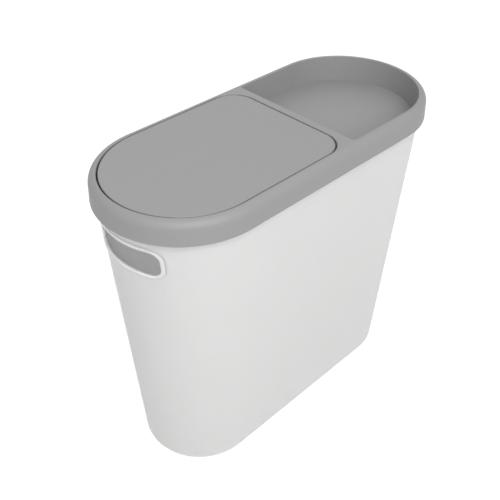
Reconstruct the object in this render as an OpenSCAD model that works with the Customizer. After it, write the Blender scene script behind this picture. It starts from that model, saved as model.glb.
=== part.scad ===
// Slim press-lid bin with a storage tray in its lift-off collar.
// Millimetres. Origin at the bottom centre, +Z up, +X towards the tray, the lid's pressed end at -X.

/* [Collar] */
// Length over the collar rim
collar_length = 393; // [330:1:440]
// Width over the collar rim
collar_width = 170; // [142:1:204]
// Height of the bin over the collar rim
total_height = 347; // [280:1:420]
// Height of the collar skirt below the rim
skirt_height = 23.5; // [20:0.5:30]
// Wall of the collar skirt
skirt_wall = 2; // [1.6:0.1:2.6]
// How far the skirt flares outwards at its lower edge
skirt_flare = 0.8; // [0:0.1:1.5]
// Radius of the rounded top edge of the collar
rim_round = 8.3; // [6:0.1:9]
// Thickness of the collar deck
deck_wall = 2.2; // [1.8:0.1:3]

/* [Body] */
// Length of the body at its base
base_length = 344; // [300:1:380]
// Width of the body at its base
base_width = 129; // [115:1:145]
// How far the body sits inside the collar rim just under the skirt
body_inset = 5; // [4:0.5:7]
// Wall of the body
body_wall = 2; // [1.6:0.1:3]
// Thickness of the body floor
floor_wall = 2.6; // [2:0.1:4]
// Radius of the edge between the body wall and its floor
base_round = 5; // [3:0.5:8]

/* [Hand holds] */
// Width of each hand hold
hold_width = 85; // [60:1:100]
// Height of each hand hold
hold_height = 27; // [22:1:32]
// Corner radius of each hand hold
hold_round = 9; // [5:0.5:10]
// Height of the middle of each hand hold below the rim
hold_drop = 52; // [46:1:70]
// Width of the raised lip round each hand hold
hold_lip = 3.5; // [2:0.5:5]
// How far the lip stands out from the wall
lip_height = 1; // [0.6:0.1:1.5]

/* [Lid] */
// Gap between the lid and its opening
lid_gap = 1.6; // [1.4:0.1:2.2]
// Width of the rim beside the lid opening
lid_rim_width = 7.8; // [6.5:0.1:9]
// Distance of the lid's straight edge from the middle of the bin
lid_edge_x = 22; // [0:1:40]
// Radius of the lid corners at the straight edge
lid_corner = 25; // [15:1:35]
// Thickness of the lid panel
lid_wall = 2.2; // [1.8:0.1:3]
// Depth of the rim under the lid panel
lid_rim_depth = 4; // [3:0.1:4.3]
// Depth of the lid surface below the collar rim
lid_drop = 0.3; // [0:0.1:1]

/* [Tray] */
// Width of the divider between the lid opening and the tray
divider_width = 8.4; // [7:0.1:14]
// Width of the rim beside the tray
tray_rim_width = 8.5; // [8.4:0.1:10]
// Depth of the tray
tray_depth = 28; // [15:1:30]
// Wall of the tray
tray_wall = 1.8; // [1.5:0.1:2.4]
// Draft of the tray wall in degrees
tray_draft = 3; // [1:0.5:4]
// Radius of the tray corners at the divider
tray_corner = 3.5; // [3.4:0.1:8]

/* [Hinge] */
// Diameter of the hinge pins
pin_d = 4; // [3:0.5:5]
// Depth of the hinge axis below the lid surface
hinge_depth = 8.5; // [8.5:0.1:9.5]
// Turns of each torsion spring
spring_turns = 4; // [3:1:6]
// Wire diameter of the torsion springs
spring_wire = 1.2; // [0.8:0.1:1.4]

/* [Latch] */
// Diameter of the latch wire
wire_d = 1.5; // [1.2:0.1:1.8]
// Length of the latch wire from its pivot to its follower
wire_reach = 18; // [16:1:20]
// Thickness of the striker blade
blade_wall = 3; // [2.6:0.1:4]
// Depth of the cam track in the striker blade
track_depth = 1.6; // [1.2:0.1:1.8]

/* [Fasteners] */
// Shank diameter of the screws
screw_d = 2.9; // [2.2:0.1:3.2]
// Head diameter of the screws
screw_head_d = 5.5; // [4.5:0.1:6]
// Diameter of the rubber feet
foot_d = 14; // [10:1:18]

/* [Hidden] */
$fn = 96;

// Clearances
run_fit = 0.05;
press_fit = 0.02;
slip = 0.3;
eps = 0.01;
through = collar_length + total_height;

// Collar
end_r = collar_width / 2;
end_x = collar_length / 2 - end_r;
skirt_bottom = total_height - skirt_height;
round_x = end_r - rim_round;
round_z = total_height - rim_round;
channel_r = rim_round - skirt_wall;

// Body
base_r = base_width / 2;
base_x = base_length / 2 - base_r;
foot_lift = 0.6;
body_r = end_r - body_inset;
body_top = skirt_bottom + 3;
side_slope = (body_r - base_r) / skirt_bottom;
end_shift = (end_x - base_x) / skirt_bottom;
rim_out = end_r - skirt_wall - 0.5;
rim_wall = 2.2;
rim_in = rim_out - rim_wall;
rim_top = total_height - 6.4;
hold_z = total_height - hold_drop;
foot_x = base_x + 20;
foot_y = base_r - 28;
foot_sink = 1.4;

// Lid
lid_r = end_r - lid_rim_width - lid_gap;
lid_top = total_height - lid_drop;
lid_under = lid_top - lid_wall;
corner_x = lid_edge_x - lid_corner;
edge_soft = 0.8;
flange_wall = 1.8;
flange_bottom = total_height - 14.5;
ledge_top = total_height - 10.5;
ledge_wall = 2;
ledge_in = lid_r - 7.1;
ledge_end = corner_x - 9;

// Tray
tray_r = end_r - tray_rim_width;
tray_x = lid_edge_x + lid_gap + divider_width;
tray_floor = total_height - tray_depth;

// Hinge
axis_x = corner_x;
axis_z = lid_top - hinge_depth;
ear_r = pin_d / 2 + 3;
ear_out = lid_r - 3.6;
ear_wall = 4.7;
ear_in = ear_out - ear_wall;
boss_r = pin_d / 2 + 1.6;
boss_in = ear_out + slip;
pin_out = lid_r + lid_gap + flange_wall;
pin_in = ear_in - 9.8;
washer_d = 9;
washer_wall = 0.8;

// Springs
coil_r = pin_d / 2 + 1.4;
coil_pitch = spring_wire + 0.25;
coil_out = ear_in - spring_wire / 2 - slip;
leg_reach = 32;
anchor_reach = 21;
tab_top = ledge_top - 1.9;
tab_in = coil_out - spring_turns * coil_pitch - 3;

// Liner
liner_bottom = axis_z + 1;
liner_wall = 1.8;
liner_inset = 4.3;
liner_rim = 1.6;
notch_front = 12;
notch_back = ear_r + 1.5;
liner_screw_spots = [
    for (side = [-1, 1]) [-end_x + 37.6 - lid_r, side * (lid_r - 35.6)],
    for (side = [-1, 1]) [-end_x + 32, side * (lid_r - 19.6)],
    for (side = [-1, 1]) [corner_x + 15, side * (lid_r - 41.6)]
];

screw_tip = lid_under + 0.8;
cover_screw_length = 8;

// Latch, placed from the front edge of the lid
front_x = -end_x - lid_r;
follower_x = front_x + 16.1;
follower_z = axis_z - 7.2;
pivot_z = follower_z - wire_reach;
swing = 4.5;
swing_angle = asin(swing / wire_reach);
cradle_x = follower_x + swing;
blade_left = follower_x - 5;
blade_length = 16.5;
blade_bottom = follower_z - 14.5;
flange_bottom_z = liner_bottom - 2.2;
track_width = wire_d + 0.6;
exit_r = sqrt(pow(axis_x - follower_x, 2) + pow(axis_z - follower_z, 2));
blade_y = blade_wall / 2;
track_y = blade_y - track_depth;
arm_y = blade_y + wire_d / 2 + 0.4;
pad_back = follower_x - 12.5;
pad_front = pad_back + 3.5;
housing_wall = 1.8;
housing_top = flange_bottom_z - 4;
housing_bottom = pivot_z - 5;
housing_back = follower_x + 13;
housing_y = 5;
wall_y = 5;
ear_y = 16;
latch_screw_y = 13;
latch_screw_rise = 14;
cover_screw_y = housing_y + wall_y / 2;
cover_screw_z = pivot_z + 8;
striker_screw_x = follower_x + 3;
striker_screw_y = 10;

// Cam track in the striker
chamber_low = follower_z - track_width / 2 - 0.65;
chamber_high = follower_z + track_width / 2 + 0.25;
entry_x = cradle_x + 3.1;

// Bumpers
bumper_d = 6.4;
bumper_stem_d = 3;
bumper_r = lid_r - 3.6;
bumper_spots = [
    for (turn = [140, 220]) [-end_x + bumper_r * cos(turn), bumper_r * sin(turn)],
    for (side = [-1, 1]) [-end_x + 52, side * bumper_r]
];

// ---------- shared shapes ----------

// Sweeps a profile of radius and height round the collar's outline, one end at x_mid and one at -x_mid
module stadium_ring(x_mid) {
    translate([x_mid, 0, 0]) rotate([0, 0, -90]) rotate_extrude(angle = 180) children();
    translate([-x_mid, 0, 0]) rotate([0, 0, 90]) rotate_extrude(angle = 180) children();
    for (side = [0, 1]) mirror([0, side, 0]) translate([-x_mid, 0, 0])
        rotate([90, 0, 90]) linear_extrude(2 * x_mid) children();
}

// Thin stadium plate used as one level of the body's hull
module body_level(z, grow) {
    level_r = base_r + side_slope * z + grow;
    level_x = base_x + end_shift * z;
    for (side = [-1, 1]) translate([side * level_x, 0, z]) cylinder(r = level_r, h = eps, $fn = 64);
}

// Drafted solid body from its floor to its top, grown outwards or shrunk inwards
module body_shape(grow, z_floor, z_top, bottom_round) {
    hull() {
        for (turn = [0 : 22.5 : 90])
            body_level(z_floor + bottom_round * (1 - cos(turn)), grow - bottom_round * (1 - sin(turn)));
        body_level(z_top - eps, grow);
    }
}

// Half disc on the -X side
module half_disc(r) {
    intersection() {
        circle(r);
        translate([-r, -r]) square([r, 2 * r]);
    }
}

// Outline of an opening: a half circle at -X, straight sides and two rounded corners at +X
module opening_outline(arc_x, arc_r, mid_x, corner_r, grow) {
    corner_y = arc_r - corner_r;
    translate([arc_x, 0]) half_disc(arc_r + grow);
    translate([arc_x, -arc_r - grow]) square([mid_x - arc_x, 2 * (arc_r + grow)]);
    translate([mid_x, -corner_y]) square([corner_r + grow, 2 * corner_y]);
    for (side = [0, 1]) mirror([0, side]) translate([mid_x, corner_y])
        intersection() {
            circle(corner_r + grow);
            square(corner_r + grow);
        }
}

// Sweeps a profile of outward distance and height round the same outline
module opening_ring(arc_x, arc_r, mid_x, corner_r) {
    corner_y = arc_r - corner_r;
    translate([arc_x, 0, 0]) rotate([0, 0, 90]) rotate_extrude(angle = 180) translate([arc_r, 0]) children();
    for (side = [0, 1]) mirror([0, side, 0]) {
        translate([arc_x, 0, 0]) rotate([90, 0, 90]) linear_extrude(mid_x - arc_x)
            translate([arc_r, 0]) children();
        translate([mid_x, corner_y, 0]) rotate_extrude(angle = 90) translate([corner_r, 0]) children();
    }
    translate([mid_x, corner_y, 0]) rotate([90, 0, 0]) linear_extrude(2 * corner_y)
        translate([corner_r, 0]) children();
}

module lid_slab(grow, z_low, z_high) {
    translate([0, 0, z_low]) linear_extrude(z_high - z_low)
        opening_outline(-end_x, lid_r, corner_x, lid_corner, grow);
}

module lid_ring() {
    opening_ring(-end_x, lid_r, corner_x, lid_corner) children();
}

module tray_slab(grow, z_low, z_high) {
    mirror([1, 0, 0]) translate([0, 0, z_low]) linear_extrude(z_high - z_low)
        opening_outline(-end_x, tray_r, -tray_x - tray_corner, tray_corner, grow);
}

module tray_ring() {
    mirror([1, 0, 0]) opening_ring(-end_x, tray_r, -tray_x - tray_corner, tray_corner) children();
}

// Solid tray with drafted walls, grown outwards by one wall for the outside
module tray_solid(grow, z_low) {
    core = tray_corner - 0.2;
    lean = tan(tray_draft) * (total_height - z_low);
    tray_slab(-core, z_low, total_height);
    tray_ring() polygon([
        [-core, z_low], [grow - lean, z_low], [grow, total_height], [-core, total_height]
    ]);
}

module rounded_rect(w, h, r) {
    square([w - 2 * r, h], center = true);
    square([w, h - 2 * r], center = true);
    for (x = [-1, 1], y = [-1, 1]) translate([x * (w / 2 - r), y * (h / 2 - r)]) circle(r);
}

// Rounded bar through an end wall, centred on the hand hold
module hold_bar(grow, x_from, x_to) {
    translate([x_from, 0, hold_z]) rotate([90, 0, 90]) linear_extrude(x_to - x_from)
        rounded_rect(hold_width + 2 * grow, hold_height + 2 * grow, hold_round + grow);
}

// Pan-head screw along +Z with its head's bearing face at z = 0
module screw(length) {
    head_h = 1.5;
    recess = 0.8;
    difference() {
        union() {
            translate([0, 0, -head_h]) cylinder(d = screw_head_d, h = head_h);
            cylinder(d = screw_d, h = length);
        }
        for (turn = [0, 90]) rotate([0, 0, turn]) translate([0, 0, -head_h])
            cube([screw_head_d * 0.6, 0.7, 2 * recess], center = true);
    }
}

// ---------- body ----------

module body_rim() {
    wall_top_r = body_r + side_slope * 2;
    lip_r = rim_wall / 2;
    lip_z = rim_top - lip_r;
    stadium_ring(end_x) {
        polygon([
            [wall_top_r - 0.7 * body_wall, body_top - 1.5], [wall_top_r - 0.25 * body_wall, body_top - 1.5],
            [rim_out, body_top + 2.5], [rim_out, lip_z], [rim_in, lip_z], [rim_in, body_top + 3]
        ]);
        translate([rim_in + lip_r, lip_z]) circle(lip_r);
    }
}

module bin_body() {
    color("#f4f4f2") {
        difference() {
            union() {
                body_shape(0, foot_lift, body_top, base_round);
                for (side = [0, 1]) mirror([side, 0, 0]) intersection() {
                    body_shape(lip_height, foot_lift, body_top, base_round);
                    hold_bar(hold_lip, base_x, end_x + end_r);
                }
            }
            body_shape(-body_wall, foot_lift + floor_wall, body_top + 1, base_round - body_wall);
            hold_bar(0, -end_x - end_r - 5, -base_x);
            hold_bar(0, base_x, end_x + end_r + 5);
            for (x = [-1, 1], y = [-1, 1]) translate([x * foot_x, y * foot_y, 0])
                cylinder(d = foot_d + 0.2, h = foot_lift + foot_sink);
        }
        body_rim();
    }
}

module foot_pads() {
    color("#3c3c3e") for (x = [-1, 1], y = [-1, 1]) translate([x * foot_x, y * foot_y, 0]) {
        cylinder(d = foot_d, h = foot_lift + foot_sink);
    }
}

// ---------- collar ----------

// Skirt and rounded rim, cut away inside by the lid and tray openings
module collar_profile() {
    inner_r = end_r - rim_round - 2;
    difference() {
        union() {
            polygon([
                [end_r + skirt_flare - skirt_wall, skirt_bottom], [end_r + skirt_flare, skirt_bottom],
                [end_r, round_z], [end_r - skirt_wall, round_z]
            ]);
            intersection() {
                translate([round_x, round_z]) circle(rim_round);
                translate([round_x, round_z]) square(rim_round);
            }
            translate([inner_r, round_z]) square([round_x - inner_r, rim_round]);
        }
        intersection() {
            translate([round_x, round_z]) circle(channel_r);
            translate([round_x, round_z]) square(channel_r);
        }
        translate([inner_r - 1, round_z - 1]) square([round_x - inner_r + 1, channel_r + 1]);
    }
}

// Ribs in the channel that rest on the body's rim
module rest_ribs() {
    rib_low = rim_top + slip;
    for (side = [0, 1]) mirror([side, 0, 0]) translate([end_x, 0, 0]) intersection() {
        for (turn = [-60, -20, 20, 60]) rotate([0, 0, turn]) translate([rim_in - 1, -1, rib_low])
            cube([rim_wall + 1.2, 2, rim_round]);
        rotate_extrude() translate([round_x, round_z]) circle(rim_round - 0.6);
    }
}

module spring_tabs() {
    for (side = [0, 1]) mirror([0, side, 0])
        translate([axis_x - 27, tab_in, tab_top - 1.7]) cube([12, ledge_in + 1 - tab_in, 1.7]);
}

module seat_ledge() {
    intersection() {
        lid_ring() translate([ledge_in - lid_r, ledge_top - ledge_wall])
            square([lid_r + lid_gap + 1 - ledge_in, ledge_wall]);
        translate([-through, -through, 0]) cube([through + ledge_end, 2 * through, through]);
    }
}

module latch_pad() {
    translate([pad_back, -ear_y, housing_bottom])
        cube([pad_front - pad_back, 2 * ear_y, ledge_top - housing_bottom]);
}

module hinge_boss(side) {
    mirror([0, side, 0]) translate([axis_x, boss_in, axis_z]) rotate([-90, 0, 0])
        cylinder(r = boss_r, h = pin_out - boss_in);
}

module edge_cut(grow) {
    cut_z = total_height - edge_soft;
    difference() {
        translate([grow - 1, cut_z]) square([edge_soft + 1, edge_soft + 1]);
        translate([grow + edge_soft, cut_z]) circle(edge_soft);
    }
}

module lid_frame() {
    aperture = lid_gap;
    color("#a3a3a3") difference() {
        union() {
            difference() {
                union() {
                    stadium_ring(end_x) collar_profile();
                    translate([corner_x - 4, -round_x - 0.5, total_height - deck_wall])
                        cube([tray_x + 8 - corner_x, 2 * round_x + 1, deck_wall]);
                    lid_slab(lid_gap + flange_wall, flange_bottom, total_height - 1);
                    tray_solid(tray_wall, tray_floor - tray_wall);
                }
                lid_slab(aperture, 0, through);
                lid_ring() edge_cut(aperture);
                tray_solid(0, tray_floor);
                tray_ring() edge_cut(0);
            }
            rest_ribs();
            seat_ledge();
            spring_tabs();
            latch_pad();
            hinge_boss(0);
            hinge_boss(1);
        }
        for (side = [0, 1]) mirror([0, side, 0]) translate([axis_x, boss_in - 1, axis_z]) rotate([-90, 0, 0])
            cylinder(d = pin_d + 2 * press_fit, h = pin_out - boss_in + 1.2);
        at_latch_screws(pad_back - 1) cylinder(d = screw_d, h = 6);
        for (spot = bumper_spots) translate([spot[0], spot[1], ledge_top - ledge_wall - 1])
            cylinder(d = bumper_stem_d, h = ledge_wall + 2);
    }
}

// ---------- lid ----------

module lid_edge_round() {
    difference() {
        translate([-edge_soft, lid_top - edge_soft]) square(edge_soft + 1);
        translate([-edge_soft, lid_top - edge_soft]) circle(edge_soft);
    }
}

module hinge_ear(side) {
    neck = 1.8 * ear_r;
    mirror([0, side, 0]) translate([axis_x, ear_in, axis_z]) {
        rotate([-90, 0, 0]) cylinder(r = ear_r, h = ear_wall);
        translate([-neck / 2, 0, 0]) cube([neck, ear_wall, lid_under + 0.5 - axis_z]);
    }
}

// Places a child at every screw that goes up into the lid
module at_liner_screws() {
    for (spot = liner_screw_spots) translate([spot[0], spot[1], 0]) children();
}

module at_striker_screws() {
    for (y = [-striker_screw_y, striker_screw_y]) translate([striker_screw_x, y, 0]) children();
}

module lid_post() {
    post_low = liner_bottom + liner_wall;
    translate([0, 0, post_low]) cylinder(d = 7, h = lid_under + 0.5 - post_low);
}

module lid_pilot() {
    translate([0, 0, liner_bottom]) cylinder(d = screw_d, h = screw_tip - liner_bottom);
}

module lid_panel() {
    color("#a3a3a3") difference() {
        union() {
            difference() {
                lid_slab(0, lid_under - lid_rim_depth + lid_wall, lid_top);
                lid_slab(-2, 0, lid_under);
                lid_ring() lid_edge_round();
            }
            hinge_ear(0);
            hinge_ear(1);
            at_liner_screws() lid_post();
            at_striker_screws() lid_post();
        }
        translate([axis_x, -through, axis_z]) rotate([-90, 0, 0])
            cylinder(d = pin_d + 2 * run_fit, h = 2 * through);
        at_liner_screws() lid_pilot();
        at_striker_screws() lid_pilot();
    }
}

module lid_liner() {
    notch_in = pin_in - 1;
    color("#9b9b9b") difference() {
        lid_slab(-liner_inset, liner_bottom, lid_under);
        lid_slab(-liner_inset - liner_rim, liner_bottom + liner_wall, lid_under + 1);
        for (side = [0, 1]) mirror([0, side, 0])
            translate([axis_x - notch_front, notch_in, liner_bottom - 1])
            cube([notch_front + notch_back, lid_r, lid_under]);
        at_liner_screws() cylinder(d = screw_d + slip, h = through);
        at_striker_screws() cylinder(d = screw_d + slip, h = through);
    }
}

module liner_screws() {
    color("#b9bcc0") at_liner_screws() translate([0, 0, liner_bottom]) screw(screw_tip - liner_bottom);
}

// ---------- hinge ----------

module along_y(y) {
    translate([axis_x, y, axis_z]) rotate([-90, 0, 0]) children();
}

module hinge_pin() {
    color("#b9bcc0") along_y(pin_in) cylinder(d = pin_d, h = pin_out - pin_in);
}

module pin_washer() {
    color("#8d9096") along_y(pin_in + 0.6) difference() {
        cylinder(d = washer_d, h = washer_wall);
        translate([0, 0, -1]) cylinder(d = pin_d + 2 * press_fit, h = washer_wall + 2);
    }
}

// Round wire swept along points that each have an outward direction in the XZ plane
module wire_sweep(points, outward, wire_r) {
    sides = 10;
    last = len(points) - 1;
    rings = [
        for (i = [0 : last], k = [0 : sides - 1])
            points[i] + wire_r * (cos(360 * k / sides) * outward[i] + sin(360 * k / sides) * [0, 1, 0])
    ];
    skin = [
        for (i = [0 : last - 1], k = [0 : sides - 1])
            let (next = (k + 1) % sides)
            [i * sides + k, i * sides + next, (i + 1) * sides + next, (i + 1) * sides + k]
    ];
    front = [for (k = [sides - 1 : -1 : 0]) k];
    back = [for (k = [0 : sides - 1]) last * sides + k];
    polyhedron(rings, concat([front], skin, [back]));
}

// Coil round the hinge axis with one leg under the lid and one on the collar's tab
module torsion_spring() {
    rise = asin((coil_r + liner_bottom - axis_z - spring_wire / 2 - 0.1) / leg_reach);
    fall = asin((coil_r + axis_z - tab_top - spring_wire / 2 - 0.1) / anchor_reach);
    start = 270 - rise;
    sweep = 360 * spring_turns - 180 + rise + fall;
    steps = ceil(sweep / 15);
    turns = [for (i = [0 : steps]) start + sweep * i / steps];
    coil = [
        for (turn = turns)
            [axis_x + coil_r * cos(turn), coil_out - coil_pitch * (turn - start) / 360, axis_z + coil_r * sin(turn)]
    ];
    out = [for (turn = turns) [cos(turn), 0, sin(turn)]];
    lid_end = coil[0] + leg_reach * [-cos(rise), 0, sin(rise)];
    anchor_end = coil[steps] + anchor_reach * [-cos(fall), 0, -sin(fall)];
    color("#c4c7cb") wire_sweep(
        concat([lid_end], coil, [anchor_end]),
        concat([out[0]], out, [out[steps]]),
        spring_wire / 2
    );
}

module hinge_pin_left() {
    hinge_pin();
}

module hinge_pin_right() {
    mirror([0, 1, 0]) hinge_pin();
}

module pin_washer_left() {
    pin_washer();
}

module pin_washer_right() {
    mirror([0, 1, 0]) pin_washer();
}

module torsion_spring_left() {
    torsion_spring();
}

module torsion_spring_right() {
    mirror([0, 1, 0]) torsion_spring();
}

// ---------- latch ----------

module at_latch_screws(x) {
    for (y = [-latch_screw_y, latch_screw_y], z = [pivot_z, pivot_z + latch_screw_rise])
        translate([x, y, z]) rotate([0, 90, 0]) children();
}

module at_cover_screws(x) {
    for (y = [-cover_screw_y, cover_screw_y]) translate([x, y, cover_screw_z]) rotate([0, -90, 0]) children();
}

module latch_housing() {
    box_front = pad_front + housing_wall;
    box_height = housing_top - housing_bottom;
    outer_y = housing_y + wall_y;
    color("#d9d9d6") difference() {
        union() {
            translate([pad_front, -ear_y, housing_bottom]) cube([housing_wall, 2 * ear_y, box_height]);
            translate([box_front - eps, -outer_y, housing_bottom])
                cube([housing_back - box_front + eps, 2 * outer_y, box_height]);
        }
        translate([box_front, -housing_y, housing_bottom + housing_wall])
            cube([housing_back - box_front + 1, 2 * housing_y, box_height]);
        translate([follower_x, 0, pivot_z]) rotate([-90, 0, 0]) cylinder(d = wire_d + 2 * run_fit, h = outer_y + 1);
        at_latch_screws(pad_front - 1) cylinder(d = screw_d, h = housing_wall + 2);
        at_cover_screws(housing_back + 1) cylinder(d = screw_d, h = cover_screw_length);
    }
}

module latch_cover() {
    outer_y = housing_y + wall_y;
    color("#c9c9c6") difference() {
        translate([housing_back, -outer_y, housing_bottom])
            cube([housing_wall, 2 * outer_y, housing_top - housing_bottom]);
        at_cover_screws(housing_back + housing_wall + 1) cylinder(d = screw_d + slip, h = housing_wall + 2);
    }
}

module latch_screws() {
    color("#b9bcc0") at_latch_screws(pad_front + housing_wall) mirror([0, 0, 1]) screw(housing_wall + 3);
}

module cover_screws() {
    color("#b9bcc0") at_cover_screws(housing_back + housing_wall) screw(cover_screw_length);
}

// Wire with a pivot end in the housing wall and a follower end in the cam track
module latch_wire() {
    bend = 1.2;
    track_end = track_y + 0.4;
    pivot_end = housing_y + wall_y - 1;
    color("#c4c7cb") {
        translate([follower_x, arm_y + bend, pivot_z]) rotate([-90, 0, 0])
            cylinder(d = wire_d, h = pivot_end - arm_y - bend);
        translate([follower_x, arm_y + bend, pivot_z + bend]) rotate([0, -90, 0]) rotate([0, 0, 180])
            rotate_extrude(angle = 90) translate([bend, 0]) circle(d = wire_d);
        translate([follower_x, arm_y, pivot_z + bend]) cylinder(d = wire_d, h = wire_reach - 2 * bend);
        translate([follower_x, arm_y - bend, follower_z - bend]) rotate([0, -90, 0])
            rotate_extrude(angle = 90) translate([bend, 0]) circle(d = wire_d);
        translate([follower_x, track_end, follower_z]) rotate([-90, 0, 0])
            cylinder(d = wire_d, h = arm_y - bend - track_end);
    }
}

// Cam track outline: exit channel that follows the lid's swing, chamber, heart cleft and entry channel
module cam_track() {
    half = track_width / 2;
    intersection() {
        translate([axis_x, axis_z]) difference() {
            circle(exit_r + half, $fn = 360);
            circle(exit_r - half, $fn = 360);
        }
        translate([follower_x - 8, blade_bottom - 1]) square([16, follower_z - blade_bottom + 1]);
    }
    translate([follower_x - half, chamber_low])
        square([entry_x + track_width - follower_x + half, chamber_high - chamber_low]);
    polygon([
        [cradle_x - 2, chamber_low + eps], [cradle_x + 1.9, chamber_low + eps],
        [cradle_x + 0.5, chamber_low - 2.6], [cradle_x - 0.5, chamber_low - 2.6]
    ]);
    polygon([
        [entry_x, chamber_low + eps], [entry_x + track_width, chamber_low + eps],
        [entry_x + track_width, blade_bottom + 5], [cradle_x, blade_bottom - 1],
        [follower_x + 0.5, blade_bottom - 1], [follower_x + 2.8, blade_bottom + 3.3],
        [entry_x, blade_bottom + 7]
    ]);
}

module striker() {
    flange_y = striker_screw_y + 4.5;
    flange_wall_z = liner_bottom - flange_bottom_z;
    color("#d9d9d6") difference() {
        union() {
            translate([blade_left, -blade_y, blade_bottom])
                cube([blade_length, blade_wall, flange_bottom_z + 1 - blade_bottom]);
            translate([blade_left - 1, -flange_y, flange_bottom_z])
                cube([blade_length + 2.5, 2 * flange_y, flange_wall_z]);
        }
        translate([0, blade_y + 1, 0]) rotate([90, 0, 0]) linear_extrude(track_depth + 1) cam_track();
        at_striker_screws() cylinder(d = screw_d + slip, h = through);
    }
}

module striker_screws() {
    color("#b9bcc0") at_striker_screws() translate([0, 0, flange_bottom_z]) screw(screw_tip - flange_bottom_z);
}

module lid_bumpers() {
    stem_low = ledge_top - ledge_wall - 0.8;
    color("#3c3c3e") for (spot = bumper_spots) translate([spot[0], spot[1], 0]) {
        translate([0, 0, ledge_top]) cylinder(d = bumper_d, h = liner_bottom - 0.2 - ledge_top);
        translate([0, 0, stem_low]) cylinder(d = bumper_stem_d, h = ledge_top + 0.5 - stem_low);
    }
}

bin_body();
foot_pads();
lid_frame();
lid_panel();
lid_liner();
liner_screws();
hinge_pin_left();
hinge_pin_right();
pin_washer_left();
pin_washer_right();
torsion_spring_left();
torsion_spring_right();
latch_housing();
latch_cover();
latch_wire();
latch_screws();
cover_screws();
striker();
striker_screws();
lid_bumpers();
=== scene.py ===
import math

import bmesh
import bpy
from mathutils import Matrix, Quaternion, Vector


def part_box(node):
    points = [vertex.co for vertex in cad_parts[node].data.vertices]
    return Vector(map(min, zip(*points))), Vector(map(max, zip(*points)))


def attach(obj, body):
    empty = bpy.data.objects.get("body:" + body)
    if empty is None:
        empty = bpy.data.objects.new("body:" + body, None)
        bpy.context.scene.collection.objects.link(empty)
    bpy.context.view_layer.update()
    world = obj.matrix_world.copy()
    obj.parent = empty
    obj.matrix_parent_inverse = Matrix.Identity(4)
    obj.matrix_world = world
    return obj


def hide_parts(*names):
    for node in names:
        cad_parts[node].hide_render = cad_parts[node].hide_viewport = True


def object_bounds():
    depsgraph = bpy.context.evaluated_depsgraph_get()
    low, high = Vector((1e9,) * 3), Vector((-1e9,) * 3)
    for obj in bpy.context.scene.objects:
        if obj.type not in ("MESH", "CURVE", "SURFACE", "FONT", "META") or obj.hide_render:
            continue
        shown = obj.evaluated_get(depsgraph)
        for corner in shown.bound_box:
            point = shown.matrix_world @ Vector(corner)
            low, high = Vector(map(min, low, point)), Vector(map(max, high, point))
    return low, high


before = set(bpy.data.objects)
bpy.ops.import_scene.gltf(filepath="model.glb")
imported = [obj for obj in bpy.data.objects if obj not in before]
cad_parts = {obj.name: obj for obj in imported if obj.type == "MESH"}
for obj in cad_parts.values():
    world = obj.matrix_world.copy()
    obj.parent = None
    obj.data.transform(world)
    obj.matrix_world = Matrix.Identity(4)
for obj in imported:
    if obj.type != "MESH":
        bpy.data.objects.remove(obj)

# %% [markdown]
# # A slim press-lid bin
# The bin is a drafted white bucket with a grey collar pressed over its rim. The collar carries a
# lid with a push latch and, beside it, an open tray. The packed model holds every working part
# at its real size. This script adds what the eye reads: true curves on the big mouldings,
# rounded edges, grained plastic, plated steel and soft light.

cad_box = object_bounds()
print("packed model", [[round(c, 4) for c in corner] for corner in cad_box])

# %% [markdown]
# ## Shader maths as expressions
# Every finish below is made of a few noises that are scaled, shifted and mixed. Wiring Math nodes
# one by one hides that, so a small class wraps a socket and lets plain Python signs add the
# nodes. One more method makes any other node from its type, its settings and its sockets.

# %% The expression class
class Wire:
    """A value socket of a material, which plain arithmetic extends with Math nodes."""

    def __init__(self, tree, socket):
        self.tree = tree
        self.socket = socket

    def math(self, operation, left, right):
        node = self.tree.nodes.new("ShaderNodeMath")
        node.operation = operation
        for socket, value in zip(node.inputs, (left, right)):
            join(self.tree, value, socket)
        return Wire(self.tree, node.outputs[0])

    def __add__(self, other):
        return self.math("ADD", self, other)

    def __sub__(self, other):
        return self.math("SUBTRACT", self, other)

    def __rsub__(self, other):
        return self.math("SUBTRACT", other, self)

    def __mul__(self, other):
        return self.math("MULTIPLY", self, other)

    __radd__ = __add__
    __rmul__ = __mul__


def join(tree, value, socket):
    """Feeds a socket with a link or with a plain value."""
    if isinstance(value, Wire):
        tree.links.new(value.socket, socket)
    else:
        socket.default_value = value


class Board:
    """A node tree under construction, with one way to add any node."""

    def __init__(self, tree):
        self.tree = tree

    def node(self, kind, settings=None, output=0, **inputs):
        """Adds a node, sets its settings first and then its sockets, and returns one output."""
        node = self.tree.nodes.new(kind)
        for name, value in (settings or {}).items():
            setattr(node, name, value)
        for name, value in inputs.items():
            join(self.tree, value, node.inputs[name.replace("_", " ")])
        return Wire(self.tree, node.outputs[output])


print("classes", Wire.__name__, Board.__name__)

# %% [markdown]
# ## A finish is a small set of tools
# A material on a real part is read in metres: how many grains lie on a metre, and how deep they
# are. So the finish class gives noises by grains per metre in Object coordinates, which stay
# fixed to the part when it moves, and bumps by their depth.

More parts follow.
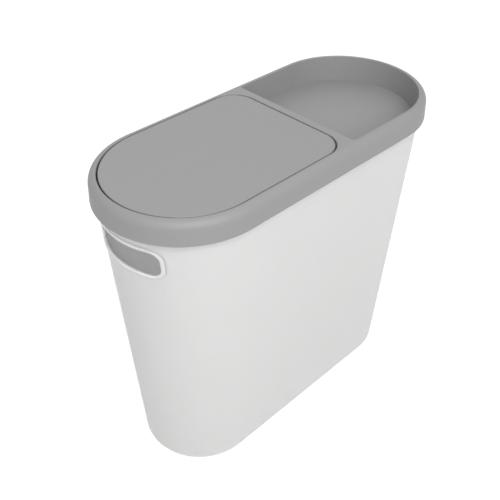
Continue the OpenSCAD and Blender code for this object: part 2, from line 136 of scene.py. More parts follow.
# %% The finish class
class Finish(Board):
    """A material under construction: its tree, its shader and its noises."""

    def __init__(self, name):
        self.material = bpy.data.materials.new(name)
        self.material.use_nodes = True
        super().__init__(self.material.node_tree)
        self.shader = self.tree.nodes["Principled BSDF"]

    def place(self, stretch=(1, 1, 1)):
        """Object coordinates in metres, stretched along each axis."""
        coordinates = self.node("ShaderNodeTexCoord", output="Object")
        return self.node("ShaderNodeMapping", Vector=coordinates, Scale=stretch)

    def noise(self, grains_per_metre, detail=2.0, stretch=(1, 1, 1)):
        """A noise from 0 to 1, with its mean near a half."""
        return self.node(
            "ShaderNodeTexNoise", Vector=self.place(stretch), Scale=grains_per_metre, Detail=detail
        )

    def tint(self, mask, low, high):
        """A colour between two others, by a mask from 0 to 1."""
        mix = self.tree.nodes.new("ShaderNodeMix")
        mix.data_type = "RGBA"
        join(self.tree, mask, mix.inputs["Factor"])
        mix.inputs["A"].default_value = (*low, 1)
        mix.inputs["B"].default_value = (*high, 1)
        return Wire(self.tree, next(s for s in mix.outputs if s.type == "RGBA"))

    def bump(self, height, depth):
        """A normal from a height between 0 and 1, where 1 stands out by depth in metres."""
        return self.node("ShaderNodeBump", Height=height, Distance=depth, Strength=1.0)

    def set(self, **sockets):
        """Sets sockets of the shader: a plain value is set, and a wire is linked."""
        for name, value in sockets.items():
            join(self.tree, value, self.shader.inputs[name.replace("_", " ")])
        return self.material


print("finish tools", [name for name in vars(Finish) if not name.startswith("_")])

# %% [markdown]
# ## Plastic that is not one flat colour
# Injection-moulded polypropylene looks even from across a room, yet up close it has three layers.
# The steel mould leaves a fine spark-eroded grain. The melt leaves slow cloudy flow marks, which
# change the gloss more than the colour. Pulling the part off its core leaves faint lines along
# the draw. Each layer is one noise at its own scale, so every plastic here is one function
# with a few numbers. Grain and flow feed only the colour, the roughness and the bump.
# The white plastic is thin and lets light into its skin, so the bucket is never dark inside.

# %% Moulded plastic
colour_drift = 0.02
skin_depth = 0.011


def moulded_plastic(name, shade, gloss, grain_depth, draw=(1, 1, 0.06), glow=0.0):
    """A grained plastic around one linear shade; glow is how much light passes into its skin."""
    finish = Finish(name)
    flow = finish.noise(11, 3)
    speck = finish.noise(420, 2)
    grain = finish.noise(2300, 3)
    lines = finish.noise(260, 2, stretch=draw)
    darker = tuple(c * (1 - colour_drift) for c in shade)
    lighter = tuple(min(1, c * (1 + colour_drift)) for c in shade)
    cloud = flow * 0.7 + speck * 0.3
    roughness = gloss + (flow - 0.5) * 0.10 + (lines - 0.5) * 0.08 + (speck - 0.5) * 0.05
    height = grain * 0.8 + speck * 0.5 + lines * 0.25
    return finish.set(
        Base_Color=finish.tint(cloud, darker, lighter),
        Roughness=roughness,
        Normal=finish.bump(height, grain_depth),
        IOR=1.49,
        Subsurface_Weight=glow,
        Subsurface_Radius=(1.0, 1.0, 1.0),
        Subsurface_Scale=skin_depth,
    )


white_plastic = moulded_plastic(
    "white_bucket_plastic", (0.845, 0.837, 0.826), 0.46, 0.00006, glow=1.0
)
grey_plastic = moulded_plastic("grey_collar_plastic", (0.252, 0.252, 0.252), 0.50, 0.00008)
lid_plastic = moulded_plastic(
    "grey_lid_plastic", (0.254, 0.254, 0.254), 0.52, 0.00008, draw=(0.06, 1, 1)
)
liner_plastic = moulded_plastic("grey_liner_plastic", (0.225, 0.226, 0.228), 0.48, 0.00007)
latch_plastic = moulded_plastic("natural_acetal", (0.66, 0.65, 0.60), 0.30, 0.00003)
print("plastics", [m.name for m in (white_plastic, grey_plastic, lid_plastic, liner_plastic)])

# %% [markdown]
# ## Metal and rubber
# Zinc plate is bright, with soft blotches where the passivation is thicker, and drawn spring
# wire carries fine lines from its die. Both are fully metallic, so their colour is the colour of
# the reflection, and the blotches show as roughness. The pads are a dark elastomer, nearly
# matt, with dust-pale specks.

# %% Zinc plate, spring wire and rubber
def plated_metal(name, shade, gloss, blotches_per_metre):
    """A metal whose plating varies in gloss and a little in colour."""
    finish = Finish(name)
    blotch = finish.noise(blotches_per_metre, 4)
    scratch = finish.noise(900, 2, stretch=(1, 0.2, 1))
    dull = tuple(c * 0.82 for c in shade)
    return finish.set(
        Base_Color=finish.tint(blotch, dull, shade),
        Roughness=gloss + (blotch - 0.5) * 0.22 + (scratch - 0.5) * 0.12,
        Normal=finish.bump(scratch * 0.6 + blotch * 0.4, 0.00002),
        Metallic=1.0,
    )


def pad_rubber():
    """A dark, nearly matt elastomer with paler specks."""
    finish = Finish("pad_rubber")
    dust = finish.noise(700, 4)
    speck = finish.node("ShaderNodeMapRange", Value=dust, From_Min=0.52, From_Max=0.75)
    return finish.set(
        Base_Color=finish.tint(speck, (0.028, 0.028, 0.030), (0.075, 0.074, 0.072)),
        Roughness=0.72 + speck * 0.15,
        Normal=finish.bump(dust, 0.00012),
    )


zinc = plated_metal("zinc_plate", (0.66, 0.67, 0.69), 0.32, 240)
spring_wire = plated_metal("spring_wire", (0.56, 0.57, 0.59), 0.26, 500)
rubber = pad_rubber()
print("metal and rubber", zinc.name, spring_wire.name, rubber.name)

# %% [markdown]
# ## Pieces from mesh code
# A finished piece sits at the origin with its place in its mesh, as the packed nodes do, and it
# rides on the body that carries it. One helper turns a bmesh into such a piece. It drops stray
# doubles, points the faces outwards and marks only the real corners as sharp, so that curved
# walls shade smoothly and edges stay crisp.

# %% From a bmesh to a piece
def as_mesh(shape, name, corner=35):
    """Ends a bmesh as a mesh with outward faces, smooth but for corners over an angle."""
    bmesh.ops.remove_doubles(shape, verts=shape.verts, dist=1e-6)
    bmesh.ops.recalc_face_normals(shape, faces=shape.faces)
    mesh = bpy.data.meshes.new(name)
    shape.to_mesh(mesh)
    shape.free()
    mesh.shade_smooth()
    mesh.set_sharp_from_angle(angle=math.radians(corner))
    return mesh


def as_piece(mesh, name, material, body, slot, *nodes):
    """Puts a mesh in the scene, on its body, in place of the packed nodes it stands for."""
    piece = bpy.data.objects.new(name, mesh)
    bpy.context.scene.collection.objects.link(piece)
    mesh.materials.clear()
    mesh.materials.append(material)
    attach(piece, body)
    if nodes:
        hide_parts(*nodes)
    print(name, "on", body, len(mesh.polygons), "faces")
    return piece


def baked(scratch, name):
    """The mesh that an object's modifiers give. The scratch object is then removed."""
    evaluated = scratch.evaluated_get(bpy.context.evaluated_depsgraph_get())
    mesh = bpy.data.meshes.new_from_object(evaluated)
    mesh.name = name
    bpy.data.objects.remove(scratch)
    return mesh


def mended(mesh, near=1e-5):
    """Merges near-double points and drops faces with no area, which a cut or a bevel can leave."""
    shape = bmesh.new()
    shape.from_mesh(mesh)
    bmesh.ops.remove_doubles(shape, verts=shape.verts, dist=near)
    bmesh.ops.dissolve_degenerate(shape, edges=shape.edges, dist=near)
    shape.to_mesh(mesh)
    shape.free()
    return mesh


def scratch_object(mesh, name):
    """An object that only lives until its modifiers are applied."""
    scratch = bpy.data.objects.new(name, mesh)
    bpy.context.scene.collection.objects.link(scratch)
    return scratch

# %% [markdown]
# ## The bucket
# The white bucket is one moulding: a stadium in plan, that is two half circles joined by straight
# sides, which grows from the floor to the rim. It could be a scaled cylinder, but the ends are
# true half circles and the draft is the same all round. So its skin is a loft: a list of
# levels, each a height with a half length and a radius. The list climbs the outside from the
# floor's round, turns over at the rim and goes down the inside, so the wall has its real thickness.

# %% Sizes of the bucket
bucket_low, bucket_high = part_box("bin_body")
collar_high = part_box("lid_frame")[1]
base_middle, base_radius = 0.1075, 0.0645
end_middle, neck_radius, neck_height = 0.1115, 0.080, 0.3235
wall, floor_wall, floor_round = 0.002, 0.0026, 0.005
rim_outer = bucket_high.y
rim_inner = rim_outer - 0.0022
print("bucket", round(bucket_high.z - bucket_low.z, 4), "high, rim radius", round(rim_outer, 4))


def bucket_wall(z, grow=0.0):
    """Half length and radius of the drafted outside at a height, moved outwards by grow."""
    share = z / neck_height
    return (
        base_middle + (end_middle - base_middle) * share,
        base_radius + (neck_radius - base_radius) * share + grow,
    )

# %% [markdown]
# ## The levels, from the floor over the rim and back
# A moulded bucket has no square corner: the floor runs into the wall in a round, and the rim is
# rolled so that it is stiff and kind to the hands. Both are arcs, so both are taken in equal
# steps of angle. The straight wall needs few levels, with more near the hand holds, where the
# cut needs short faces.

# %% The list of levels
arc_steps = 8
wall_heights = (0.03, 0.09, 0.15, 0.21, 0.26, 0.28, 0.295, 0.31)


def round_corner(z_flat, radius, grow):
    """Levels of the round between a flat floor and the wall."""
    levels = []
    for step in range(arc_steps + 1):
        turn = math.radians(90) * step / arc_steps
        z = z_flat + radius * (1 - math.cos(turn))
        levels.append((z, *bucket_wall(z, grow - radius * (1 - math.sin(turn)))))
    return levels


def bucket_levels():
    """From the outer floor up the outside, over the rim and down the inside to the inner floor."""
    floor = bucket_low.z
    neck = neck_height + 0.0025
    lip = (rim_outer - rim_inner) / 2
    lip_height = bucket_high.z - lip
    levels = round_corner(floor, floor_round, 0.0)
    for z in (*wall_heights, neck):
        levels.append((z, *bucket_wall(z)))
    levels.append((neck + 0.003, end_middle, rim_outer))
    for step in range(arc_steps + 1):
        turn = math.radians(180) * step / arc_steps
        reach = rim_outer - lip + lip * math.cos(turn)
        levels.append((lip_height + lip * math.sin(turn), end_middle, reach))
    levels.append((neck + 0.0035, end_middle, rim_inner))
    for z in (neck - 0.001, *reversed(wall_heights)):
        levels.append((z, *bucket_wall(z, -wall)))
    levels.extend(reversed(round_corner(floor + floor_wall, floor_round - wall, -wall)))
    return levels


print("levels", len(bucket_levels()))

# %% [markdown]
# ## A skin over the levels
# Every level is the same stadium with the same number of points, so a skin is just quads from
# one ring to the next. The same loft serves later for the hand holds' beads, where the rings
# close on themselves, and for screws and pads.

# %% Loft the levels
def stadium(middle, radius, z, steps=36):
    """Points of one level, anticlockwise from the near right corner."""
    points = []
    for side, start in ((1, -90), (-1, 90)):
        for step in range(steps + 1):
            turn = math.radians(start + 180 * step / steps)
            x = side * middle + radius * math.cos(turn)
            points.append(Vector((x, radius * math.sin(turn), z)))
    return points


def loft(rings, closed=False):
    """Skins rings of points that have equal counts, and caps both ends unless it is closed."""
    shape = bmesh.new()
    rows = [[shape.verts.new(p) for p in ring] for ring in rings]
    pairs = list(zip(rows, rows[1:] + rows[:1])) if closed else list(zip(rows, rows[1:]))
    for low, high in pairs:
        for i in range(len(low)):
            j = (i + 1) % len(low)
            shape.faces.new((low[i], low[j], high[j], high[i]))
    if not closed:
        shape.faces.new(rows[0][::-1])
        shape.faces.new(rows[-1])
    return shape


bucket_shell = as_mesh(loft([stadium(m, r, z) for z, m, r in bucket_levels()]), "bucket_shell")
print("shell", len(bucket_shell.polygons), "faces")

# %% [markdown]
# ## Hand holds
# Each end wall has a long rounded slot to lift the bin by. A slot with a raw edge would cut the
# fingers, so a bead runs round it, a little proud of the wall. The slot is a Boolean cut, which
# is quick and exact. Its edge would shade badly on a curved wall, so the bead is its own swept
# ring: a small round-cornered profile carried round the slot's outline and bent on to the wall.

# %% The slot's outline
hold_width, hold_height, hold_corner, hold_z = 0.085, 0.027, 0.009, 0.295


def hold_outline(grow, corner_steps=10):
    """Points (y, z) and outward directions round the slot, moved outwards by grow."""
    points = []
    half_y, half_z = hold_width / 2 - hold_corner, hold_height / 2 - hold_corner
    corners = ((1, 1), (-1, 1), (-1, -1), (1, -1))
    for quarter, (sy, sz) in enumerate(corners):
        for step in range(corner_steps + 1):
            turn = math.radians(90) * (quarter + step / corner_steps)
            out = Vector((math.cos(turn), math.sin(turn)))
            centre = Vector((sy * half_y, hold_z + sz * half_z))
            points.append((centre + out * (hold_corner + grow), out))
    return spread(points)


def spread(points, longest=0.006):
    """Adds points along the straight runs, so that a ring can bend with the wall."""
    dense = []
    for (here, out), (there, _) in zip(points, points[1:] + points[:1]):
        parts = max(1, math.ceil((there - here).length / longest))
        dense.extend((here.lerp(there, part / parts), out) for part in range(parts))
    return dense


print("slot outline", len(hold_outline(0.0)), "points")

# %% [markdown]
# ## Cutting the slots
# In the mould a steel slide forms each slot. Here a bar with the slot's outline goes through the
# end wall, and the exact Boolean takes it away. The cut is a hair wider than the bead's inner
# edge, so that the bead covers it, and the mesh is mended after it.

# %% Cut both slots
cut_margin = 0.0003


def slot_cutter(side):
    """A bar with the slot's outline, through one end wall."""
    rings = [
        [Vector((side * x, p.x, p.y)) for p, _ in hold_outline(cut_margin)]
        for x in (base_middle, collar_high.x + 0.01)
    ]
    return scratch_object(as_mesh(loft(rings), "slot_cutter"), "slot_cutter")


bucket_scratch = scratch_object(bucket_shell, "bucket_scratch")
cutters = [slot_cutter(side) for side in (-1, 1)]
for cutter in cutters:
    cut = bucket_scratch.modifiers.new("slot", "BOOLEAN")
    cut.operation = "DIFFERENCE"
    cut.solver = "EXACT"
    cut.object = cutter
bucket_mesh = mended(baked(bucket_scratch, "bucket"))
for cutter in cutters:
    bpy.data.objects.remove(cutter)
bucket_mesh.set_sharp_from_angle(angle=math.radians(35))
as_piece(bucket_mesh, "bucket", white_plastic, "bin", "body_plastic", "bin_body")

# %% [markdown]
# ## The bead that saves the fingers
# The bead is a ring with a soft, round-cornered section. It lies on a wall that is both curved
# and drafted, so each of its points is placed by the wall's own outward direction. It also
# lines the cut, down to the inside of the wall.

# %% The bead round each slot
def on_wall(side, y, z, proud):
    """A point over an end wall, proud of its outside along the wall's own direction."""
    middle, radius = bucket_wall(z)
    across = math.sqrt(radius * radius - y * y)
    out = Vector((across, y, -radius * (neck_radius - base_radius) / neck_height)).normalized()
    point = Vector((middle + across, y, z)) + out * proud
    return Vector((side * point.x, point.y, point.z))


def bead_profile(width=0.0035, proud=0.001, soft=0.0009):
    """The bead's section as pairs of outward reach and height over the wall."""
    section = [(0.0, -wall - 0.0001), (0.0, proud - soft)]
    for step in range(1, 7):
        turn = math.radians(90) * step / 6
        section.append((soft * (1 - math.cos(turn)), proud - soft * (1 - math.sin(turn))))
    for step in range(7):
        turn = math.radians(90) * step / 6
        section.append((width - soft * (1 - math.sin(turn)), proud - soft * (1 - math.cos(turn))))
    section.extend([(width, -0.0006), (0.001, -wall - 0.0001)])
    return section


def bead(side):
    """A ring that carries the profile round one slot."""
    rings = []
    for point, out in hold_outline(0.0):
        rings.append([
            on_wall(side, *(point + out * reach), height) for reach, height in bead_profile()
        ])
    return as_mesh(loft(rings, closed=True), "hold_bead")


for side, name in ((-1, "front_hold_bead"), (1, "rear_hold_bead")):
    as_piece(bead(side), name, white_plastic, "bin", "body_plastic")

# %% [markdown]
# ## Wire with Geometry Nodes
# The torsion springs and the latch arm are drawn wire, bent along a path. In the packed model the
# springs are faceted and the arm has plain corners. A small node tree does it better: it turns
# a path of edges into a curve and carries a circle along it. The same tree serves all
# three, with the wire's diameter and the number of sides as named inputs.

# %% Node trees with named inputs
class Recipe(Board):
    """A Geometry Nodes tree under construction, which takes geometry and gives geometry."""

    def __init__(self, name, **inputs):
        super().__init__(bpy.data.node_groups.new(name, "GeometryNodeTree"))
        face = self.tree.interface
        face.new_socket("Geometry", in_out="INPUT", socket_type="NodeSocketGeometry")
        for title, kind in inputs.items():
            face.new_socket(title.replace("_", " "), in_out="INPUT", socket_type=kind)
        face.new_socket("Geometry", in_out="OUTPUT", socket_type="NodeSocketGeometry")
        self.start = self.tree.nodes.new("NodeGroupInput")
        self.end = self.tree.nodes.new("NodeGroupOutput")

    def given(self, title):
        return Wire(self.tree, self.start.outputs[title])

    def close(self, geometry):
        """Makes the result real, gives it its material and ends the tree."""
        solid = self.node("GeometryNodeRealizeInstances", Geometry=geometry)
        smooth = self.node("GeometryNodeSetShadeSmooth", Geometry=solid)
        finished = self.node(
            "GeometryNodeSetMaterial", Geometry=smooth, Material=self.given("Material")
        )
        join(self.tree, finished, self.end.inputs[0])
        return self.tree


def follow(tree, mesh, name, **values):
    """Runs a tree over a mesh with values for its named inputs, and returns a plain mesh."""
    scratch = scratch_object(mesh, name)
    modifier = scratch.modifiers.new("recipe", "NODES")
    modifier.node_group = tree
    for item in tree.interface.items_tree:
        title = item.name.replace(" ", "_")
        if item.in_out == "INPUT" and title in values:
            modifier[item.identifier] = values[title]
    return baked(scratch, name)


wire_recipe = Recipe(
    "bent_wire",
    Wire_Diameter="NodeSocketFloat",
    Sides="NodeSocketInt",
    Material="NodeSocketMaterial",
)
section = wire_recipe.node(
    "GeometryNodeCurvePrimitiveCircle",
    Resolution=wire_recipe.given("Sides"),
    Radius=wire_recipe.given("Wire Diameter") * 0.5,
)
path = wire_recipe.node("GeometryNodeMeshToCurve", Mesh=wire_recipe.given("Geometry"))
swept = wire_recipe.node(
    "GeometryNodeCurveToMesh", Curve=path, Profile_Curve=section, Fill_Caps=True
)
bent_wire = wire_recipe.close(swept)
print("tree", bent_wire.name, [i.name for i in bent_wire.interface.items_tree])

# %% [markdown]
# ## The paths of the wires
# A torsion spring pushes the lid up: one leg lies under the lid's liner, the coils sit round the
# hinge pin, and the other leg rests on a tab of the collar. The legs leave the coils as
# tangents, so their slopes follow from the coil's radius and the heights of the two seats. The
# latch arm is a straight wire with two bends, a quarter circle each.

# %% Paths of the springs and the latch arm
axis = Vector((-0.003, 0.0, 0.3382))
liner_bottom, ledge_tab = 0.3392, 0.3346
spring_wire_size, latch_wire_size = 0.0012, 0.0015
seat_gap = 0.0001


def spring_path(side):
    """A leg under the lid, four coils round the hinge pin and a leg on the collar's tab."""
    coil, pitch, half_wire = 0.0034, 0.00145, spring_wire_size / 2
    start_y = 0.0664
    long_leg, short_leg = 0.032, 0.021
    rise = math.asin((coil + liner_bottom - axis.z - half_wire - seat_gap) / long_leg)
    fall = math.asin((coil + axis.z - ledge_tab - half_wire - seat_gap) / short_leg)
    start = math.radians(270) - rise
    sweep = math.radians(360 * 4 - 180) + rise + fall
    steps = 180
    points = []
    for step in range(steps + 1):
        turn = start + sweep * step / steps
        y = start_y - pitch * sweep * step / steps / math.radians(360)
        round_pin = Vector((coil * math.cos(turn), side * y, coil * math.sin(turn)))
        points.append(axis + round_pin)
    first = points[0] + Vector((-math.cos(rise), 0, math.sin(rise))) * long_leg
    last = points[-1] + Vector((-math.cos(fall), 0, -math.sin(fall))) * short_leg
    return [first, *points, last]


def latch_path():
    """A pivot end in the housing, a straight arm and a follower end in the cam track."""
    bend, arm_y = 0.0012, 0.00265
    x, low, high = -0.171, 0.313, 0.331
    quarter = [math.radians(90 * i / 8) for i in range(9)]
    points = [Vector((x, 0.009, low))]
    for t in quarter:
        points.append(Vector((x, arm_y + bend * (1 - math.sin(t)), low + bend * (1 - math.cos(t)))))
    for t in quarter:
        y, z = arm_y - bend * (1 - math.cos(t)), high - bend * (1 - math.sin(t))
        points.append(Vector((x, y, z)))
    points.append(Vector((x, 0.0003, high)))
    return points


def path_mesh(points):
    """A mesh of edges only, which a tree reads as a curve."""
    mesh = bpy.data.meshes.new("path")
    mesh.from_pydata(points, [(i, i + 1) for i in range(len(points) - 1)], [])
    return mesh


wires = (
    ("torsion_spring_near", spring_path(-1), spring_wire_size, "collar", "torsion_spring_right"),
    ("torsion_spring_far", spring_path(1), spring_wire_size, "collar", "torsion_spring_left"),
    ("latch_arm_wire", latch_path(), latch_wire_size, "latch_arm", "latch_wire"),
)
for name, points, diameter, body, node in wires:
    mesh = follow(
        bent_wire, path_mesh(points), name, Wire_Diameter=diameter, Sides=20, Material=spring_wire
    )
    mesh.set_sharp_from_angle(angle=math.radians(50))
    as_piece(mesh, name, spring_wire, body, "spring_steel", node)

# %% [markdown]
# ## Turned parts on points
# Fourteen pan-head screws hold the lid's liner, the striker and the latch. One screw is turned as
# a profile round its own axis, where the thread is just a radius that climbs as the angle goes
# round, and two bars cut its cross recess. A second tree copies it to points: each point
# carries its own turn as an attribute. The rubber pads under the bucket and the bumpers under
# the lid use the same tree with other patterns, so no part is placed by hand twice.

# %% The tree that copies a pattern to points
copy_recipe = Recipe("copies_on_points", Pattern="NodeSocketObject", Material="NodeSocketMaterial")
pattern = copy_recipe.node(
    "GeometryNodeObjectInfo", output="Geometry", Object=copy_recipe.given("Pattern")
)
turn = copy_recipe.node(
    "GeometryNodeInputNamedAttribute",
    {"data_type": "FLOAT_VECTOR"},
    output="Attribute",
    Name="turn",
)
turned = copy_recipe.node("FunctionNodeEulerToRotation", Euler=turn)
placed = copy_recipe.node(
    "GeometryNodeInstanceOnPoints",
    Points=copy_recipe.given("Geometry"),
    Instance=pattern,
    Rotation=turned,
)
copies_on_points = copy_recipe.close(placed)
print("tree", copies_on_points.name)


def copies(pattern_mesh, spots, name, material, body, slot, node, turn=(0, 0, 0), corner=35):
    """One piece made of a pattern at every spot, in place of a packed node."""
    points = bpy.data.meshes.new("spots")
    points.from_pydata(spots, [], [])
    attribute = points.attributes.new("turn", "FLOAT_VECTOR", "POINT")
    for item in attribute.data:
        item.vector = turn
    pattern_object = scratch_object(pattern_mesh, "pattern")
    mesh = follow(copies_on_points, points, name, Pattern=pattern_object, Material=material)
    bpy.data.objects.remove(pattern_object)
    mesh.set_sharp_from_angle(angle=math.radians(corner))
    return as_piece(mesh, name, material, body, slot, node)

# %% [markdown]
# ## One screw, turned
# A lathe makes a screw blank as a stack of circles, and rolling presses the thread into it. The
# same is done here: a list of heights and radii is lofted, and in the thread the radius
# depends on the angle, so that the crest climbs one pitch for each turn. Two thin bars, crossed,
# cut the recess for the screwdriver.

# %% One pan-head screw
def turned_part(rows, steps):
    """Rings of points from a list of (height, radius or radius by angle), closed at both ends."""
    rings = []
    for z, radius in rows:
        ring = []
        for step in range(steps):
            angle = 2 * math.pi * step / steps
            r = radius(angle) if callable(radius) else radius
            ring.append(Vector((r * math.cos(angle), r * math.sin(angle), z)))
        rings.append(ring)
    return loft(rings)


head_radius, head_height = 0.00275, 0.0015
shank, pitch, thread_depth = 0.00145, 0.0011, 0.00032
head_dome = (
    (1, 0.30), (0.98, 0.52), (0.9, 0.72), (0.74, 0.87),
    (0.5, 0.965), (0.25, 1), (0.04, 1), (0, 0.97),
)


def screw_pattern(length):
    """A screw along +Z with its bearing face at zero, a domed head below and a rolled thread."""
    rows = [(-head_height * rise, head_radius * reach) for rise, reach in head_dome]
    rows.append((0.0, shank))
    height = 0.0003
    while height < length - 0.0012:
        def thread(angle, z=height):
            phase = (z / pitch - angle / (2 * math.pi)) % 1.0
            return shank - thread_depth * min(1.0, 2.4 * abs(phase - 0.5))
        rows.append((height, thread))
        height += pitch / 6
    rows.append((length - 0.0010, shank - thread_depth))
    rows.append((length, 0.0004))
    scratch = scratch_object(as_mesh(turned_part(rows, 20), "screw"), "screw")
    bars = []
    for size in ((0.0034, 0.0007, 0.0018), (0.0007, 0.0034, 0.0018)):
        bar = bmesh.new()
        bmesh.ops.create_cube(bar, size=1.0, matrix=Matrix.Diagonal((*size, 1)))
        bmesh.ops.translate(bar, verts=bar.verts, vec=(0, 0, -head_height))
        bars.append(scratch_object(as_mesh(bar, "bar"), "bar"))
        cut = scratch.modifiers.new("recess", "BOOLEAN")
        cut.operation, cut.solver, cut.object = "DIFFERENCE", "EXACT", bars[-1]
    mesh = baked(scratch, "screw")
    for bar in bars:
        bpy.data.objects.remove(bar)
    return mesh


print("one screw", len(screw_pattern(0.006).polygons), "faces")

# %% [markdown]
# ## Every screw in its place
# The screws of one part lie in a pattern, so their places come from the packed node's own box
# wherever they can: its corners, moved in by a head's radius, are the screws' axes. Only the
# liner's six need their own list, because they follow the lid's outline.

# %% All screws
def head_centres(node):
    """The axes in Y and Z of the screws in a node: its box's corners, in by a head's radius."""
    low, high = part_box(node)
    across = (low.y + head_radius, high.y - head_radius)
    up = (low.z + head_radius, high.z - head_radius)
    return sorted(set((round(y, 5), round(z, 5)) for y in across for z in up))


liner_low, liner_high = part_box("liner_screws")
liner_spots = [
    (x, side * y, liner_low.z + head_height)
    for x, y in ((-0.1495, 0.040), (-0.0795, 0.056), (0.012, 0.034))
    for side in (-1, 1)
]
copies(
    screw_pattern(liner_high.z - liner_low.z - head_height), liner_spots,
    "liner_screw_set", zinc, "lid", "steel", "liner_screws",
)
striker_low, striker_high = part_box("striker_screws")
striker_x = (striker_low.x + striker_high.x) / 2
striker_spots = [
    (striker_x, y, striker_low.z + head_height)
    for y in (striker_low.y + head_radius, striker_high.y - head_radius)
]
copies(
    screw_pattern(striker_high.z - striker_low.z - head_height), striker_spots,
    "striker_screw_set", zinc, "lid", "steel", "striker_screws",
)
for node, name in (("latch_screws", "latch_screw_set"), ("cover_screws", "cover_screw_set")):
    low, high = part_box(node)
    spots = [(high.x - head_height, y, z) for y, z in head_centres(node)]
    copies(
        screw_pattern(high.x - low.x - head_height), spots,
        name, zinc, "collar", "steel", node, turn=(0, math.radians(-90), 0),
    )

# %% [markdown]
# ## Rubber pads and bumpers
# A soft pad under each corner keeps the bin from sliding, and four small bumpers on the ledge
# take the lid's knock. Both are turned shapes with a round edge. The pad has a shallow dish
# under it, which grips, and the bumper has a stem that holds it in its hole.

# %% Pads and bumpers
def pad_pattern(radius, height):
    """A rubber pad that stands on its rim, with a round edge and a shallow dish under it."""
    soft, dish = 0.0006, 0.0005
    rows = [(dish, radius * 0.35), (dish, radius * 0.55)]
    rows += [(0.0, radius * 0.62), (0.0, radius - soft)]
    for step in range(1, 7):
        turn = math.radians(90) * step / 6
        rows.append((soft * (1 - math.cos(turn)), radius - soft * (1 - math.sin(turn))))
    rows.append((height, radius))
    return as_mesh(turned_part(rows, 40), "pad")


def bumper_pattern(radius, stem, under, seat, top):
    """A rubber bumper: a cap with a round edge over the ledge and a stem down through it."""
    soft = 0.0004
    rows = [(under, stem * 0.6), (under + soft, stem), (seat, stem), (seat, radius)]
    for step in range(7):
        turn = math.radians(90) * step / 6
        rows.append((top - soft * (1 - math.sin(turn)), radius - soft * (1 - math.cos(turn))))
    rows.append((top, radius * 0.4))
    return as_mesh(turned_part(rows, 32), "bumper")


foot_low, foot_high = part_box("foot_pads")
foot_radius = 0.007
foot_spots = [
    (x, y, foot_low.z)
    for x in (foot_low.x + foot_radius, foot_high.x - foot_radius)
    for y in (foot_low.y + foot_radius, foot_high.y - foot_radius)
]
copies(
    pad_pattern(foot_radius, foot_high.z - foot_low.z), foot_spots,
    "rubber_pad_set", rubber, "bin", "rubber", "foot_pads",
)
bumper_low, bumper_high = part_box("lid_bumpers")
bumper_radius, bumper_stem, ledge_top = 0.0032, 0.0015, 0.3365
bumper_reach = 0.072
bumper_spots = [
    (-end_middle + bumper_reach * math.cos(turn), bumper_reach * math.sin(turn), 0.0)
    for turn in (math.radians(140), math.radians(220))
]
bumper_spots += [(-end_middle + 0.052, side * bumper_reach, 0.0) for side in (-1, 1)]
bumper = bumper_pattern(bumper_radius, bumper_stem, bumper_low.z, ledge_top, bumper_high.z)
copies(
    bumper, bumper_spots, "rubber_bumper_set", rubber, "collar", "rubber", "lid_bumpers"
)

# %% [markdown]
# ## Broken edges on the small mouldings
# The latch housing, its cover and the striker are exact in the packed model, with knife edges
# that no mould gives. A real edge has a small round, and it is this round that catches the light.
# Rebuilding the parts would risk their sizes, so each is copied and merged into a solid, its
# flat facets are joined into whole faces, and a Bevel modifier rounds the corners.

# %% Copy a packed node and break its edges
def broken_edges(node, round_size, name, material, body, slot, corner=40):
    """A copy of a packed node with its corners rounded, in place of the node."""
    shape = bmesh.new()
    shape.from_mesh(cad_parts[node].data)
    bmesh.ops.remove_doubles(shape, verts=shape.verts, dist=2e-6)
    flat = math.radians(1)
    bmesh.ops.dissolve_limit(shape, angle_limit=flat, verts=shape.verts, edges=shape.edges)
    mesh = bpy.data.meshes.new(name)
    shape.to_mesh(mesh)
    shape.free()
    mesh.shade_smooth()
    scratch = scratch_object(mesh, name)
    bevel = scratch.modifiers.new("edge", "BEVEL")
    bevel.width = round_size
    bevel.segments = 3
    bevel.limit_method = "ANGLE"
    bevel.angle_limit = math.radians(corner)
    bevel.use_clamp_overlap = True
    mesh = mended(baked(scratch, name), 1e-6)
    mesh.set_sharp_from_angle(angle=math.radians(corner))
    return as_piece(mesh, name, material, body, slot, node)


broken_edges("latch_housing", 0.0003, "latch_case", latch_plastic, "collar", "latch_plastic")
broken_edges("latch_cover", 0.0003, "latch_case_cover", latch_plastic, "collar", "latch_plastic")
broken_edges("striker", 0.00015, "striker_blade", latch_plastic, "lid", "latch_plastic")

# %% [markdown]
# ## Finishes for the packed nodes
# The collar, the lid and its liner keep their packed shapes, because their rounds and draft are
# already true. They only get the moulded finishes. The hinge pins and washers are plain turned
# parts, so they keep their shapes too and are plated.

# %% Finishes on the nodes that stay
kept = (
    ("lid_frame", grey_plastic),
    ("lid_panel", lid_plastic),
    ("lid_liner", liner_plastic),
    ("hinge_pin_left", zinc),
    ("hinge_pin_right", zinc),
    ("pin_washer_left", zinc),
    ("pin_washer_right", zinc),
)
for node, finish in kept:
    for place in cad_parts[node].material_slots:
        place.material = finish
    print(node, "is", finish.name)

# %% [markdown]
# ## Floor, light and camera
# The bin stands on a pale sweep under an even white sky, as on a product table: large soft sources
# all round leave hardly a shadow, and form shows through the small differences between faces.
# A wide softbox in front and to the left models the long side and reaches into the tray, and a
# weak one behind lifts the far rim. The sweep glows on its own, but it sends no diffuse light
# back up, so the collar's skirt isn't lit from below more than the tray's walls are.

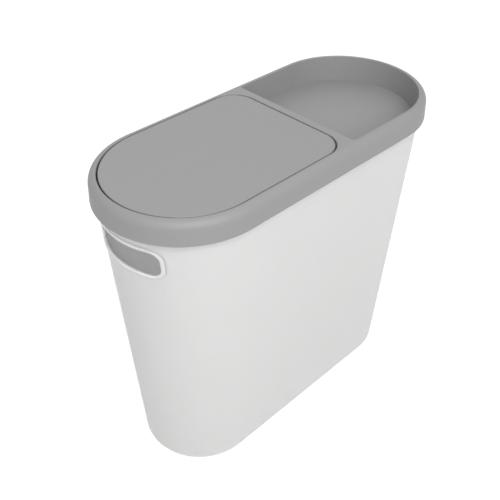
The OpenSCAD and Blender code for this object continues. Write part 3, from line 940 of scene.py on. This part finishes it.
# %% The floor
white = (1.0, 1.0, 1.0, 1.0)
floor_size, floor_gap, floor_glow = 12.0, 0.0002, 0.93
bpy.ops.mesh.primitive_plane_add(size=floor_size, location=(0, 0, -floor_gap))
floor = bpy.context.active_object
floor.name = "studio_floor"
sweep = Finish("pale_sweep")
dust = sweep.noise(40, 2)
floor.data.materials.append(
    sweep.set(
        Base_Color=sweep.tint(dust, (0.11, 0.11, 0.11), (0.13, 0.13, 0.13)),
        Roughness=0.9,
        Emission_Color=white,
        Emission_Strength=floor_glow,
    )
)
floor.visible_diffuse = False
print("floor", floor.name)

# %% [markdown]
# ## The light
# An even sky does most of the work. The softboxes are square area lights, more than a metre wide
# and nearly two away, so their shadows have no edge. The Standard view transform keeps the
# white of the sweep white and the greys as they were set.

# %% The light
def softbox(name, place, aim, size, watts):
    """A square area light at a place, turned to face a point."""
    light = bpy.data.lights.new(name, "AREA")
    light.shape = "SQUARE"
    light.size = size
    light.energy = watts
    lamp = bpy.data.objects.new(name, light)
    lamp.location = place
    lamp.rotation_mode = "QUATERNION"
    lamp.rotation_quaternion = (Vector(aim) - Vector(place)).to_track_quat("-Z", "Y")
    bpy.context.scene.collection.objects.link(lamp)
    return lamp


world = bpy.data.worlds.new("white_sky")
world.use_nodes = True
sky = world.node_tree.nodes["Background"]
sky.inputs["Color"].default_value = white
sky.inputs["Strength"].default_value = 0.70
bpy.context.scene.world = world
middle = (cad_box[0] + cad_box[1]) / 2
box_size, key_watts, back_watts = 1.3, 28.0, 4.0
softbox("key_softbox", middle + Vector((-0.70, -1.20, 1.30)), middle, box_size, key_watts)
softbox("back_softbox", middle + Vector((0.75, 1.25, 1.30)), middle, box_size, back_watts)
bpy.context.scene.view_settings.view_transform = "Standard"
print("sky", sky.inputs["Strength"].default_value)

# %% [markdown]
# ## The camera
# The bin is seen from above its front left corner, close enough for the sides to converge a
# little. The camera is aimed at a point inside the bin and then rolled by a fraction of a degree
# about its own line of sight.

# %% The camera
roll = math.radians(0.29)
camera_data = bpy.data.cameras.new("product_camera")
camera_data.lens, camera_data.sensor_width = 51.99, 36.0
camera_data.clip_start, camera_data.clip_end = 0.01, 30
camera = bpy.data.objects.new("product_camera", camera_data)
bpy.context.scene.collection.objects.link(camera)
camera.location = (-0.4519, -0.4281, 0.6912)
sight = Vector((-0.0286, 0.0, 0.2047)) - camera.location
camera.rotation_mode = "QUATERNION"
camera.rotation_quaternion = sight.to_track_quat("-Z", "Y") @ Quaternion((0, 0, 1), roll)
bpy.context.scene.camera = camera
print("camera", round(sight.length, 3), "m from its aim")

# %% [markdown]
# ## The packed model's size
# The looks must not change the bin's size. The packed model's box is taken and printed at the
# start, before any look is added.
